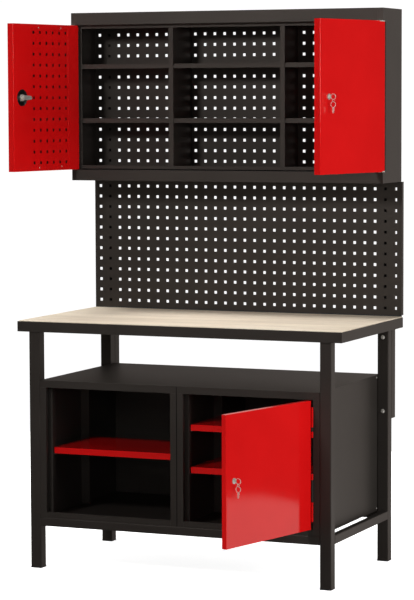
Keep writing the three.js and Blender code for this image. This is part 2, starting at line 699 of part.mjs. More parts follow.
// Cabinet top or floor: one sheet folded into fascia, return and stop lip
function cabinetEnd(sheetZ, fasciaZ, lipZ) {
  const inward = Math.sign(lipZ - sheetZ);
  const line = [
    [CABINET_BACK, sheetZ],
    [-CABINET_DEPTH, sheetZ],
    [-CABINET_DEPTH, fasciaZ],
    [STOP_FRONT, fasciaZ],
    [STOP_FRONT, lipZ],
  ];
  const length = 2 * SIDE_INSIDE - 2 * FIT;
  const path = inward < 0 ? line : line.reverse();
  const folded = extrude(foldedSheet(path, SHEET), length).applyMatrix4(ALONG_X);
  const end = folded.translate(-length / 2, 0, 0);
  const flangeEdge = CABINET_SIDE - SIDE_FRONT_FLANGE - FIT;
  const stopEdge = CABINET_SIDE - SIDE_STOP_FLANGE - FIT;
  const corners = [-1, 1].flatMap((sign) => [
    box(
      sign * flangeEdge,
      sign * CABINET_SIDE,
      -CABINET_DEPTH - FIT,
      -CABINET_DEPTH + SHEET + FIT,
      sheetZ - inward * FIT,
      fasciaZ + inward * FIT,
    ),
    box(
      sign * stopEdge,
      sign * CABINET_SIDE,
      STOP_FRONT - FIT,
      STOP_FRONT + SHEET + FIT,
      fasciaZ - inward * FIT,
      lipZ + inward * FIT,
    ),
  ]);
  const pins = [-1, 1].map((sign) => pivotPin(sign, fasciaZ));
  return join(cut(end, ...corners), ...pins);
}

// Cabinet side: the front flange steps back behind the door
function cabinetSide(sign) {
  const outer = sign * CABINET_SIDE;
  const inner = sign * SIDE_INSIDE;
  const wall = box(outer, inner, -CABINET_DEPTH, CABINET_BACK, CABINET_BOTTOM, CABINET_TOP);
  const flange = box(
    outer,
    outer - sign * SIDE_FRONT_FLANGE,
    -CABINET_DEPTH,
    -CABINET_DEPTH + SHEET,
    CABINET_BOTTOM,
    CABINET_TOP,
  );
  const stopLow = FASCIA_HIGH + FIT;
  const stopHigh = FASCIA_LOW - FIT;
  const stop = box(outer, outer - sign * SIDE_STOP_FLANGE, STOP_FRONT, STOP_FRONT + SHEET, stopLow, stopHigh);
  const notch = box(
    outer + sign * FIT,
    outer - sign * (SIDE_FRONT_FLANGE + FIT),
    -CABINET_DEPTH - FIT,
    STOP_FRONT,
    stopLow,
    stopHigh,
  );
  return join(cut(join(wall, flange), notch), stop);
}

// Divider with a front flange turned towards the outer bay
function cabinetDivider(sign) {
  const inner = sign * DIVIDER_INSIDE;
  const outer = sign * DIVIDER_OUTSIDE;
  const web = box(
    inner,
    outer,
    STOP_FRONT + SHEET + FIT,
    CABINET_BACK,
    CABINET_BOTTOM + SHEET + FIT,
    CABINET_TOP - SHEET - FIT,
  );
  const low = BAY_FLOOR + FIT;
  const high = BAY_TOP - FIT;
  const nose = box(inner, outer, STOP_FRONT, STOP_FRONT + 2 * SHEET, low, high);
  const flange = box(inner, inner + sign * DIVIDER_FLANGE, STOP_FRONT, STOP_FRONT + SHEET, low, high);
  return join(web, nose, flange);
}

function upperCabinet() {
  piece(bench, "upper_cabinet_top", "frame", cabinetEnd(CABINET_TOP, FASCIA_LOW, BAY_TOP));
  piece(bench, "upper_cabinet_floor", "frame", cabinetEnd(CABINET_BOTTOM, FASCIA_HIGH, BAY_FLOOR));
  for (const [side, sign] of [["left", -1], ["right", 1]]) {
    piece(bench, `upper_${side}_side`, "frame", cabinetSide(sign));
    piece(bench, `upper_${side}_divider`, "frame", cabinetDivider(sign));
  }
  const bays = [
    ["left", -SIDE_INSIDE + FIT, -DIVIDER_OUTSIDE - FIT],
    ["middle", -DIVIDER_INSIDE + FIT, DIVIDER_INSIDE - FIT],
    ["right", DIVIDER_OUTSIDE + FIT, SIDE_INSIDE - FIT],
  ];
  const levels = [["low", UPPER_SHELF_HEIGHTS[0]], ["high", UPPER_SHELF_HEIGHTS[1]]];
  for (const [bay, from, to] of bays) {
    for (const [level, height] of levels) {
      const shelf = trayShelf(from, to, UPPER_SHELF_FRONT, CABINET_BACK, height, UPPER_SHELF_LIP);
      piece(bench, `upper_${bay}_${level}_shelf`, "frame", shelf);
    }
  }
}

// Doors are built closed about their hinge axis, then turned open. Their width runs along reach * X.

// A block of a door's width and thickness, with its upright edges rounded
function doorBlock(door, inset, bend) {
  const { reach, hingeEdge, freeEdge, face, thick, low, high } = door;
  const width = freeEdge - hingeEdge - 2 * inset;
  const shape = roundedRectangle(new THREE.Shape(), width, thick - 2 * inset, bend);
  const from = reach > 0 ? hingeEdge + inset : -freeEdge + inset;
  return extrude(shape, high - low - 2 * inset).translate(from, face + inset, low + inset);
}

// A folded pan: face at the front, edges and lips behind it
function doorPan(door) {
  const { reach, hingeEdge, freeEdge, face, thick, lips, low, high } = door;
  const body = doorBlock(door, 0, DOOR_BEND);
  const hollow = doorBlock(door, DOOR_SHEET, DOOR_BEND - DOOR_SHEET);
  const mouth = box(
    reach * (hingeEdge + lips.hinge),
    reach * (freeEdge - lips.lock),
    face + 2 * DOOR_SHEET,
    face + thick + FIT,
    low + lips.end,
    high - lips.end,
  );
  const lock = rodAlongY(BARREL_RADIUS + HOLE_CLEARANCE, face - FIT, face + DOOR_SHEET + FIT, ROUND);
  return cut(body, hollow, mouth, lock.translate(door.lockX, 0, door.lockZ));
}

// A flat liner behind an upper door's lips, which covers the mouth of the pan
function doorLiner(door) {
  const from = door.hingeEdge + door.lips.hinge - LINER_OVERLAP;
  const to = door.freeEdge - door.lips.lock + LINER_OVERLAP;
  const back = door.face + door.thick - DOOR_SHEET - FIT;
  const ends = door.lips.end - LINER_OVERLAP;
  return box(door.reach * from, door.reach * to, back - DOOR_SHEET, back, door.low + ends, door.high - ends);
}

// Barrel with its rosette outside, bored for the plug
function lockBarrel(door) {
  const { face } = door;
  const end = face + door.thick + CAM_BEHIND_PAN - FIT;
  const profile = [
    [0, face - FIT - ROSETTE_THICK],
    [ROSETTE_RADIUS, face - FIT - ROSETTE_THICK],
    [ROSETTE_RADIUS, face - FIT],
    [BARREL_RADIUS, face - FIT],
    [BARREL_RADIUS, end],
    [0, end],
  ];
  const bore = rodAlongY(PLUG_RADIUS + HOLE_CLEARANCE, face - BARREL_RADIUS, end + FIT, ROUND);
  return cut(turnedAlongY(profile, ROUND), bore).translate(door.lockX, 0, door.lockZ);
}

// Hole in an upper door's wide lip, through which the cup and the barrel are reached
function cupHole(door) {
  const back = door.face + door.thick;
  const hole = rodAlongY(LOCK_CUP_RADIUS + HOLE_CLEARANCE, back - DOOR_SHEET - FIT, back + FIT, 2 * COARSE);
  return hole.translate(door.lockX, 0, door.lockZ);
}

// Dished cup round the barrel, from the face sheet to the hole in the lip
function lockCup(door) {
  const seat = door.face + DOOR_SHEET + FIT;
  const rim = door.face + door.thick;
  const profile = [
    [0, seat],
    [LOCK_CUP_BASE_RADIUS, seat],
    [LOCK_CUP_RADIUS, rim],
    [LOCK_CUP_RADIUS - LOCK_CUP_WALL, rim],
    [LOCK_CUP_BASE_RADIUS - LOCK_CUP_WALL, seat + LOCK_CUP_WALL],
    [0, seat + LOCK_CUP_WALL],
  ];
  const bore = rodAlongY(BARREL_RADIUS + HOLE_CLEARANCE, seat - FIT, rim + FIT, ROUND);
  return cut(turnedAlongY(profile, 2 * COARSE), bore).translate(door.lockX, 0, door.lockZ);
}

// Plug and cam in one piece, with the cam turned to the hinge side and a slot for the key
function lockCam(door, length) {
  const front = door.face - FIT - ROSETTE_THICK;
  const camFront = door.face + door.thick + CAM_BEHIND_PAN;
  const plug = rodAlongY(PLUG_RADIUS, front, camFront + 2 * CAM_GAUGE, ROUND);
  const half = CAM_WIDTH / 2;
  const outline = new THREE.Shape();
  outline.absarc(0, 0, half, Math.PI / 2, 1.5 * Math.PI);
  outline.lineTo(length - half, -half);
  outline.absarc(length - half, 0, half, -Math.PI / 2, Math.PI / 2);
  const lever = extrude(outline, CAM_GAUGE, 3).rotateX(Math.PI / 2).translate(0, camFront + CAM_GAUGE, 0);
  if (door.reach > 0) lever.rotateY(Math.PI);
  const slotHalf = KEY_GAUGE / 2 + FIT;
  const slotWide = KEY_BLADE_WIDTH / 2 + FIT;
  const slot = box(-slotHalf, slotHalf, front - FIT, front + KEY_BLADE_LENGTH + FIT, -slotWide, slotWide);
  return cut(join(plug, lever), slot).translate(door.lockX, 0, door.lockZ);
}

// Middle of the key's bow, in front of the lock
function bowPlace(door) {
  return door.face - FIT - ROSETTE_THICK - KEY_NECK - KEY_BOW_RADIUS;
}

// A flat key standing upright, with a loop for its bow and the blade along +Y from the loop's centre
function uprightKey() {
  const half = KEY_BLADE_WIDTH / 2;
  const start = Math.asin(half / KEY_BOW_RADIUS);
  const tip = KEY_BOW_RADIUS + KEY_NECK + KEY_BLADE_LENGTH;
  const shape = new THREE.Shape();
  shape.absarc(0, 0, KEY_BOW_RADIUS, Math.PI / 2 + start, 2.5 * Math.PI - start);
  shape.lineTo(half, tip);
  shape.lineTo(-half, tip);
  const loop = new THREE.Path();
  loop.absarc(0, 0, KEY_BOW_RADIUS - KEY_RIM, 0, 2 * Math.PI, true);
  shape.holes.push(loop);
  return extrude(shape, KEY_GAUGE, ROUND / 2).translate(0, 0, -KEY_GAUGE / 2).rotateY(Math.PI / 2);
}

// Key in the lock
function lockKey(door) {
  return uprightKey().translate(door.lockX, bowPlace(door), door.lockZ);
}

// Ring round the bottom of the key's loop, with the spare key hanging from it in one piece
function spareKey(door) {
  const inside = KEY_BOW_RADIUS - KEY_RIM;
  const ring = new THREE.TorusGeometry(RING_RADIUS, RING_WIRE, 5, 2 * COARSE).rotateX(Math.PI / 2);
  const hang = -RING_RADIUS + RING_WIRE / 2 - inside;
  const hung = join(ring, uprightKey().rotateX(-Math.PI / 2).translate(0, 0, hang));
  const ringPlace = -inside + FIT + RING_WIRE - RING_RADIUS;
  return hung.translate(door.lockX, bowPlace(door), door.lockZ + ringPlace);
}

// One upper door; side is -1 for the left one, whose outside isn't keyed here
function upperDoor(name, side, openDegrees, keyed) {
  const reach = -side;
  const freeEdge = PIVOT_X - DIVIDER_INSIDE;
  const low = FASCIA_HIGH + UPPER_DOOR_GAP;
  const high = FASCIA_LOW - UPPER_DOOR_GAP;
  const door = {
    reach,
    hingeEdge: -PIVOT_FROM_SIDE,
    freeEdge,
    face: -PIVOT_FROM_FACE,
    thick: UPPER_DOOR_THICK,
    lips: { hinge: UPPER_HINGE_LIP, lock: UPPER_LOCK_LIP, end: UPPER_END_LIP },
    low,
    high,
    lockX: reach * (freeEdge - UPPER_LOCK_FROM_EDGE),
    lockZ: (low + high) / 2,
  };
  const group = new THREE.Group();
  group.position.set(side * PIVOT_X, PIVOT_Y, 0);
  group.rotation.z = THREE.MathUtils.degToRad(side * openDegrees);
  bench.add(group);
  const pinHole = rodAlongZ(PIVOT_RADIUS + HOLE_CLEARANCE, low - PIVOT_REACH, low + PIVOT_REACH, COARSE);
  const highHole = rodAlongZ(PIVOT_RADIUS + HOLE_CLEARANCE, high - PIVOT_REACH, high + PIVOT_REACH, COARSE);
  piece(group, `${name}_door`, "red", cut(doorPan(door), pinHole, highHole, cupHole(door)));
  piece(group, `${name}_liner`, "red", doorLiner(door));
  piece(group, `${name}_lock`, "chrome", lockBarrel(door));
  piece(group, `${name}_lock_cup`, "black", lockCup(door));
  piece(group, `${name}_cam`, "zinc", lockCam(door, UPPER_CAM_LENGTH));
  if (keyed) {
    piece(group, `${name}_key`, "chrome", lockKey(door));
    piece(group, `${name}_spare_key`, "chrome", spareKey(door));
  }
}

// Lower door, hung on the right side of the right box and flush with its front
function lowerDoor() {
  const freeEdge = HINGE_X - (SEAM + BOX_SIDE_FLANGE + LOWER_DOOR_GAP);
  const door = {
    reach: -1,
    hingeEdge: HINGE_EDGE,
    freeEdge,
    face: KNUCKLE_RADIUS,
    thick: LOWER_DOOR_THICK,
    lips: { hinge: LOWER_DOOR_LIP, lock: LOWER_DOOR_LIP, end: LOWER_DOOR_LIP },
    low: LOWER_DOOR_LOW,
    high: LOWER_DOOR_HIGH,
    lockX: -(freeEdge - LOWER_LOCK_FROM_EDGE),
    lockZ: (LOWER_DOOR_LOW + LOWER_DOOR_HIGH) / 2,
  };
  const group = new THREE.Group();
  group.position.set(HINGE_X, HINGE_Y, 0);
  group.rotation.z = THREE.MathUtils.degToRad(LOWER_DOOR_ANGLE);
  bench.add(group);
  piece(group, "lower_door", "red", join(doorPan(door), doorKnuckles()));
  piece(group, "lower_lock", "chrome", lockBarrel(door));
  piece(group, "lower_cam", "zinc", lockCam(door, LOWER_CAM_LENGTH));
  piece(group, "lower_key", "chrome", lockKey(door));
  piece(group, "lower_spare_key", "chrome", spareKey(door));
}

legs();
rails();
worktop();
panels();
uprights();
uprightBolts();
lowerCabinet();
lowerShelves();
upperCabinet();
hingePins();
upperDoor("upper_left", -1, LEFT_DOOR_ANGLE, false);
upperDoor("upper_right", 1, RIGHT_DOOR_ANGLE, true);
lowerDoor();

// The origin is at the middle of the base of the whole object, doors open as shown.
const bounds = new THREE.Box3().setFromObject(bench, true);
const middle = bounds.getCenter(new THREE.Vector3());
bench.position.set(-middle.x, -middle.y, -bounds.min.z);
const part = new THREE.Group();
part.add(bench);

export default part;
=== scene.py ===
import json
import math

import bmesh
import bpy
from mathutils import Matrix, Vector


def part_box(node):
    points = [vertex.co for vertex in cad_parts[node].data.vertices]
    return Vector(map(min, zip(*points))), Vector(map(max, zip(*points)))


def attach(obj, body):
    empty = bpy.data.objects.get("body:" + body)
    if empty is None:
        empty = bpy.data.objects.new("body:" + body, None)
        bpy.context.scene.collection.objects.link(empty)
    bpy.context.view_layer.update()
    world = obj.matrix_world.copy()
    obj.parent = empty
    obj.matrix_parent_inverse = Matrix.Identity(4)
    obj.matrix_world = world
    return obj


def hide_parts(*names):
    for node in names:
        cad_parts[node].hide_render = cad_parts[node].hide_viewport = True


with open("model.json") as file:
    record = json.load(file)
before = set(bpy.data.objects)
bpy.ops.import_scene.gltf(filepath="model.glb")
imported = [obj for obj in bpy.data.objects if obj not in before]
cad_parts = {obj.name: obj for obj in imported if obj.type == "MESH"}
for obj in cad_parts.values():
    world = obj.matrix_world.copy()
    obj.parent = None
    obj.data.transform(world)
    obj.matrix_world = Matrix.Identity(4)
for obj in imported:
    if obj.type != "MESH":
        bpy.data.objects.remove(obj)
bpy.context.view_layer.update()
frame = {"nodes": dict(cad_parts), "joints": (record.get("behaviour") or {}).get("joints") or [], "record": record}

scene = bpy.context.scene
scene.view_settings.view_transform = "Standard"

# Sizes in millimetres
MM = 0.001
FIT = 0.3

# Perforated sheets
HOLE = 10
PITCH = 38
PANEL_COLUMNS = 31
UPPER_ROWS = 13
UPPER_FIRST_ROW = 66.7
LOWER_ROWS = 12
LOWER_FIRST_ROW = 24
UPRIGHT_WALL = 2
# Black core inside the uprights, painted shade seen through the holes
SHADE_CORE_BEHIND_WALL = 6
LINER_COLUMNS = 6
LINER_ROWS = 13
LINER_OVERLAP = 12
LINER_SHEET = 0.8
# Black sheet behind the door liners, painted shade seen through the holes
SHADE_SHEET_BEHIND_LINER = 4
SHADE_SHEET_THICK = 1

# Doors
DOOR_SHEET = 1.2
UPPER_DOOR_THICK = 25
UPPER_FACE = -8
UPPER_HINGE_EDGE = -6
UPPER_HINGE_LIP = 63
UPPER_LOCK_LIP = 106
UPPER_LOCK_FROM_EDGE = 50
LOWER_DOOR_THICK = 18
LOWER_FACE = 3.5
LEFT_OPEN = 99.6
RIGHT_OPEN = 75.9
LOWER_OPEN = 75.5
PIVOT_PLATE_THICK = 1.1
PIVOT_PLATE_BORE = 4.6
PIVOT_PLATE_DEPTH = 18
PIVOT_PLATE_SKIRT = 3
PIVOT_PLATE_LENGTHS = {"low": 16, "high": 31}
RIVET_RADIUS = 2.6
RIVET_FROM_END = 12
RIVET_PLACES = (101, 233)

# Locks and keys
ROSETTE_RADIUS = 10
ROSETTE_THICK = 2
BARREL_RADIUS = 8.5
PLUG_RADIUS = 6
CUP_RADIUS = 29.5
CUP_BASE_RADIUS = 22
CUP_WALL = 1.5
NUT_RADIUS = 13
NUT_THICK = 8
CAM_BEHIND_PAN = 4.5
CAM_GAUGE = 3
CAM_WIDTH = 18
CAM_TIP_WIDTH = 13.5
CAM_SCREW_RADIUS = 5.5
UPPER_CAM_LENGTH = 47
LOWER_CAM_LENGTH = 58
KEY_GAUGE = 2
KEY_BLADE_WIDTH = 8
KEY_BLADE_LENGTH = 14
KEY_NECK = 5
KEY_BOW_RADIUS = 10
KEY_RIM = 1.5
RING_RADIUS = 5
RING_WIRE = 0.8

# Fascia and its return, and black strips painted in as shade at the door ledge and the box seam
FASCIA_RETURN = 27
FLOOR_FASCIA = 38
DOOR_LEDGE_SHADE_THICK = 1.2
DOOR_LEDGE_SHADE_HEIGHT = 4
BOX_SEAM_SHADE_WIDTH = 2.6
BOX_SEAM_SHADE_PROUD = 0.25

# Bolts, screws and feet
SCREW_RADIUS = 3.2
SCREW_HEIGHTS = (187, 650)
SCREW_BEFORE_LEG = 6
BOLT_RADIUS = 4
BOLT_HEAD_HEIGHT = 4.5
BOLT_WASHER_RADIUS = 7.5
BOLT_NUT_HEIGHT = 6.5
FOOT_HEIGHT = 5
FOOT_SKIN = 0.25

joints = {joint["name"]: joint for joint in frame["joints"]}


# Materials

def new_material(name):
    material = bpy.data.materials.new(name)
    material.use_nodes = True
    nodes = material.node_tree.nodes
    return material, nodes, material.node_tree.links, nodes["Principled BSDF"]


def add_noise(nodes, links, scale, detail, stretch=(1, 1, 1)):
    place = nodes.new("ShaderNodeTexCoord")
    mapping = nodes.new("ShaderNodeMapping")
    mapping.inputs["Scale"].default_value = stretch
    noise = nodes.new("ShaderNodeTexNoise")
    noise.inputs["Scale"].default_value = scale
    noise.inputs["Detail"].default_value = detail
    links.new(place.outputs["Object"], mapping.inputs["Vector"])
    links.new(mapping.outputs["Vector"], noise.inputs["Vector"])
    return noise.outputs["Fac"]


def add_ramp(nodes, links, source, stops):
    ramp = nodes.new("ShaderNodeValToRGB")
    elements = ramp.color_ramp.elements
    while len(elements) < len(stops):
        elements.new(0.5)
    for element, (position, colour) in zip(elements, stops):
        element.position = position
        element.color = (*colour, 1)
    links.new(source, ramp.inputs["Fac"])
    return ramp.outputs["Color"]


def add_range(nodes, links, source, low, high):
    spread = nodes.new("ShaderNodeMapRange")
    spread.inputs["To Min"].default_value = low
    spread.inputs["To Max"].default_value = high
    links.new(source, spread.inputs["Value"])
    return spread.outputs["Result"]


def add_bump(nodes, links, source, strength, distance, below=None):
    bump = nodes.new("ShaderNodeBump")
    bump.inputs["Strength"].default_value = strength
    bump.inputs["Distance"].default_value = distance
    links.new(source, bump.inputs["Height"])
    if below is not None:
        links.new(below, bump.inputs["Normal"])
    return bump.outputs["Normal"]


def multiply(nodes, links, base, shade, factor):
    mix = nodes.new("ShaderNodeMix")
    mix.data_type = "RGBA"
    mix.blend_type = "MULTIPLY"
    mix.inputs["Factor"].default_value = factor
    links.new(base, mix.inputs["A"])
    links.new(shade, mix.inputs["B"])
    return mix.outputs["Result"]


# Powder coat with a fine grain and a slightly uneven sheet under it
def coat(name, dark, light, roughness, shine, grain, waves):
    material, nodes, links, shader = new_material(name)
    clouds = add_noise(nodes, links, 6, 3)
    fine = add_noise(nodes, links, 1400, 2)
    links.new(add_ramp(nodes, links, clouds, [(0.3, dark), (0.7, light)]), shader.inputs["Base Color"])
    gloss = add_range(nodes, links, fine, roughness * 0.85, roughness * 1.15)
    links.new(gloss, shader.inputs["Roughness"])
    sheet = add_bump(nodes, links, add_noise(nodes, links, 7, 1), waves, 0.002)
    links.new(add_bump(nodes, links, fine, grain, 0.0002, sheet), shader.inputs["Normal"])
    shader.inputs["Specular IOR Level"].default_value = shine
    shader.inputs["Specular Tint"].default_value = (1, 0.86, 0.77, 1)
    return material


def metal(name, dark, light, roughness):
    material, nodes, links, shader = new_material(name)
    shader.inputs["Metallic"].default_value = 0.65
    brushed = add_noise(nodes, links, 300, 3, (1, 1, 6))
    links.new(add_ramp(nodes, links, brushed, [(0.3, dark), (0.7, light)]), shader.inputs["Base Color"])
    polish = add_range(nodes, links, brushed, roughness - 0.06, roughness + 0.08)
    links.new(polish, shader.inputs["Roughness"])
    links.new(add_bump(nodes, links, brushed, 0.1, 0.0001), shader.inputs["Normal"])
    return material


def plastic(name, dark, light, roughness, shine):
    material, nodes, links, shader = new_material(name)
    fine = add_noise(nodes, links, 900, 2)
    links.new(add_ramp(nodes, links, fine, [(0.3, dark), (0.7, light)]), shader.inputs["Base Color"])
    links.new(add_range(nodes, links, fine, roughness - 0.08, roughness + 0.08), shader.inputs["Roughness"])
    shader.inputs["Specular IOR Level"].default_value = shine
    links.new(add_bump(nodes, links, fine, 0.15, 0.0002), shader.inputs["Normal"])
    return material


# Sealed board: long grain along X with short darker flecks, in staves of slightly different tone
def wood(name):
    material, nodes, links, shader = new_material(name)
    grain = add_noise(nodes, links, 60, 6, (0.06, 1, 1))
    flecks = add_noise(nodes, links, 400, 2, (0.12, 1, 1))
    staves = add_noise(nodes, links, 14, 2, (0.12, 1, 1))
    pale = (0.77, 0.68, 0.545)
    tan = (0.66, 0.545, 0.41)
    base = add_ramp(nodes, links, grain, [(0.25, tan), (0.6, pale)])
    mark = add_ramp(nodes, links, flecks, [(0.32, (0.72, 0.72, 0.72)), (0.45, (1, 1, 1))])
    shade = add_ramp(nodes, links, staves, [(0.38, (0.86, 0.85, 0.84)), (0.62, (1, 1, 1))])
    marked = multiply(nodes, links, base, mark, 0.6)
    links.new(multiply(nodes, links, marked, shade, 1), shader.inputs["Base Color"])
    links.new(add_range(nodes, links, grain, 0.5, 0.65), shader.inputs["Roughness"])
    links.new(add_bump(nodes, links, grain, 0.1, 0.0003), shader.inputs["Normal"])
    return material


MATERIALS = {
    "charcoal_coat": coat(
        "charcoal_coat",
        dark=(0.020, 0.0175, 0.0155),
        light=(0.025, 0.022, 0.0195),
        roughness=0.5,
        shine=0.4,
        grain=0.25,
        waves=0.05,
    ),
    "red_coat": coat(
        "red_coat",
        dark=(0.58, 0.0045, 0.005),
        light=(0.63, 0.0055, 0.006),
        roughness=0.08,
        shine=0.37,
        grain=0.06,
        waves=0.15,
    ),
    "worktop_wood": wood("worktop_wood"),
    "zinc": metal("zinc", (0.56, 0.54, 0.5), (0.72, 0.7, 0.65), 0.34),
    "bright_chrome": metal("bright_chrome", (0.78, 0.72, 0.64), (0.9, 0.85, 0.77), 0.25),
    "black_plastic": plastic("black_plastic", (0.008, 0.008, 0.008), (0.014, 0.014, 0.014), 0.52, 0.5),
    # Near-black look for the strips and cores painted in as shade at the door ledge, the box seam and inside the
    # uprights
    "black_rubber": plastic("black_rubber", (0.0015, 0.0015, 0.0015), (0.003, 0.003, 0.003), 0.85, 0.1),
}

SLOTS = {entry["node"]: entry["material_slot"] for entry in frame["record"]["subparts"]}


# Dressing of the solids that keep their shape

def soften(obj, width, segments=2):
    bevel = obj.modifiers.new("edges", "BEVEL")
    bevel.width = width * MM
    bevel.segments = segments
    bevel.limit_method = "ANGLE"
    bevel.angle_limit = math.radians(50)


for name, node in frame["nodes"].items():
    if not node.material_slots:
        node.data.materials.append(None)
    for material_slot in node.material_slots:
        material_slot.material = MATERIALS[SLOTS[name]]

EDGE_SOFTNESS = {
    "upper_left_door": 0.5,
    "upper_right_door": 0.5,
    "lower_door": 0.5,
    "worktop_frame": 0.8,
    "lower_cabinet_top": 0.6,
    "upper_cabinet_top": 0.6,
    "upper_cabinet_floor": 0.6,
    "upper_left_side": 0.6,
    "upper_right_side": 0.6,
    "lower_left_side": 0.6,
    "lower_right_side": 0.6,
}
for name, width in EDGE_SOFTNESS.items():
    soften(frame["nodes"][name], width)
for name in SLOTS:
    if name.endswith("_shelf"):
        soften(frame["nodes"][name], 0.6)
for name in ("upper_left_door", "upper_right_door", "lower_door"):
    frame["nodes"][name].data.shade_smooth()
    frame["nodes"][name].data.set_sharp_from_angle(angle=math.radians(30))
    frame["nodes"][name].modifiers.new("normals", "WEIGHTED_NORMAL").keep_sharp = True


# Shapes for new pieces

def finish_piece(name, mesh, body, slot, matrix=None, look=None):
    if matrix is not None:
        mesh.transform(matrix)
    mesh.shade_smooth()
    mesh.set_sharp_from_angle(angle=math.radians(35))
    obj = bpy.data.objects.new(name, mesh)
    scene.collection.objects.link(obj)
    obj.data.materials.append(MATERIALS[look or slot])
    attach(obj, body)
    return obj


def mesh_of(name, vertices, faces):
    mesh = bpy.data.meshes.new(name)
    mesh.from_pydata(vertices, [], faces)
    shell = bmesh.new()
    shell.from_mesh(mesh)
    bmesh.ops.remove_doubles(shell, verts=shell.verts, dist=0.001)
    bmesh.ops.recalc_face_normals(shell, faces=shell.faces)
    shell.to_mesh(mesh)
    shell.free()
    return mesh


# A turned piece about Y, from pairs of radius and distance along Y
def turned(name, profile, segments=32):
    vertices = []
    for radius, y in profile:
        for i in range(segments):
            angle = 2 * math.pi * i / segments
            vertices.append((radius * math.cos(angle), y, radius * math.sin(angle)))
    faces = []
    for ring in range(len(profile) - 1):
        for i in range(segments):
            j = (i + 1) % segments
            low = ring * segments
            high = low + segments
            faces.append((low + i, low + j, high + j, high + i))
    for ring in (0, len(profile) - 1):
        if profile[ring][0] > 0:
            faces.append(tuple(ring * segments + i for i in range(segments)))
    return mesh_of(name, vertices, faces)


# A turned piece whose profile closes on itself round an open bore
def turned_ring(name, profile, segments=32):
    vertices = []
    faces = []
    count = len(profile)
    for i in range(segments):
        angle = 2 * math.pi * i / segments
        j = (i + 1) % segments
        for k, (radius, y) in enumerate(profile):
            m = (k + 1) % count
            vertices.append((radius * math.cos(angle), y, radius * math.sin(angle)))
            faces.append((i * count + k, i * count + m, j * count + m, j * count + k))
    return mesh_of(name, vertices, faces)


# A flat plate from outlines in X and Y, the first outside and the others holes, thick along Z
def plate(name, outlines, thick, round_edge=0.3):
    curve = bpy.data.curves.new(name, "CURVE")
    curve.dimensions = "2D"
    curve.fill_mode = "BOTH"
    curve.extrude = thick / 2 - round_edge
    curve.bevel_depth = round_edge
    curve.bevel_resolution = 1
    curve.offset = -round_edge
    for outline in outlines:
        spline = curve.splines.new("POLY")
        spline.points.add(len(outline) - 1)
        for point, (x, y) in zip(spline.points, outline):
            point.co = (x, y, 0, 1)
        spline.use_cyclic_u = True
    holder = bpy.data.objects.new(name, curve)
    scene.collection.objects.link(holder)
    bpy.context.view_layer.update()
    mesh = bpy.data.meshes.new_from_object(holder)
    bpy.data.objects.remove(holder)
    bpy.data.curves.remove(curve)
    return mesh


def arc(radius, start, end, steps, x=0):
    span = [start + (end - start) * i / steps for i in range(steps + 1)]
    return [(x + radius * math.cos(t), radius * math.sin(t)) for t in span]


# Edges of the bands between two ends, with a hole's width at each centre
def bands(low, high, centres):
    edges = [low]
    for centre in centres:
        edges += [centre - HOLE / 2, centre + HOLE / 2]
    return edges + [high]


def centred(middle, count):
    return [middle + (i - (count - 1) / 2) * PITCH for i in range(count)]


# A sheet in X and Z with square holes where the odd bands cross
def punched_sheet(name, across, up, front, back):
    vertices = []
    faces = []

    def quad(corners):
        start = len(vertices)
        vertices.extend(corners)
        faces.append((start, start + 1, start + 2, start + 3))

    def is_solid(i, k):
        inside = 0 <= i < len(across) - 1 and 0 <= k < len(up) - 1
        return inside and not (i % 2 == 1 and k % 2 == 1)

    for i in range(len(across) - 1):
        for k in range(len(up) - 1):
            if not is_solid(i, k):
                continue
            xa, xb, za, zb = across[i], across[i + 1], up[k], up[k + 1]
            for y in (front, back):
                quad([(xa, y, za), (xb, y, za), (xb, y, zb), (xa, y, zb)])
            for x, side in ((xa, i - 1), (xb, i + 1)):
                if not is_solid(side, k):
                    quad([(x, front, za), (x, back, za), (x, back, zb), (x, front, zb)])
            for z, side in ((za, k - 1), (zb, k + 1)):
                if not is_solid(i, side):
                    quad([(xa, front, z), (xb, front, z), (xb, back, z), (xa, back, z)])
    return mesh_of(name, vertices, faces)


# A box from its two corners
def block(name, low, high):
    corners = [(x, y, z) for x in (low[0], high[0]) for y in (low[1], high[1]) for z in (low[2], high[2])]
    sides = [(0, 1, 3, 2), (4, 5, 7, 6), (0, 1, 5, 4), (2, 3, 7, 6), (0, 2, 6, 4), (1, 3, 7, 5)]
    return mesh_of(name, corners, sides)


def joined(name, meshes):
    whole = bmesh.new()
    for mesh in meshes:
        whole.from_mesh(mesh)
        bpy.data.meshes.remove(mesh)
    mesh = bpy.data.meshes.new(name)
    whole.to_mesh(mesh)
    whole.free()
    return mesh


# Upper perforated panel
low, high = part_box("upper_panel")
columns = centred((low.x + high.x) / 2 / MM, PANEL_COLUMNS)
rows = [low.z / MM + UPPER_FIRST_ROW + i * PITCH for i in range(UPPER_ROWS)]
panel_mesh = punched_sheet(
    "upper_panel_punched",
    bands(low.x / MM, high.x / MM, columns),
    bands(low.z / MM, high.z / MM, rows),
    low.y / MM,
    high.y / MM,
)
panel = finish_piece("upper_panel_punched", panel_mesh, "bench", "charcoal_coat", Matrix.Scale(MM, 4))
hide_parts("upper_panel")

# Black strip on the rear edge of the worktop, under the lower panel: painted shade standing in for the shadow in
# the gap between panel and worktop
panel_low, panel_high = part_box("lower_panel")
_, edge_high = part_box("worktop_frame")
shade_strip_low = Vector((panel_low.x, panel_low.y, edge_high.z)) / MM
shade_strip_high = Vector((panel_high.x, edge_high.y, panel_low.z)) / MM
shade_strip_mesh = block("worktop_rear_shade_strip", shade_strip_low, shade_strip_high)
finish_piece("worktop_rear_shade_strip", shade_strip_mesh, "bench", "black_plastic", Matrix.Scale(MM, 4))

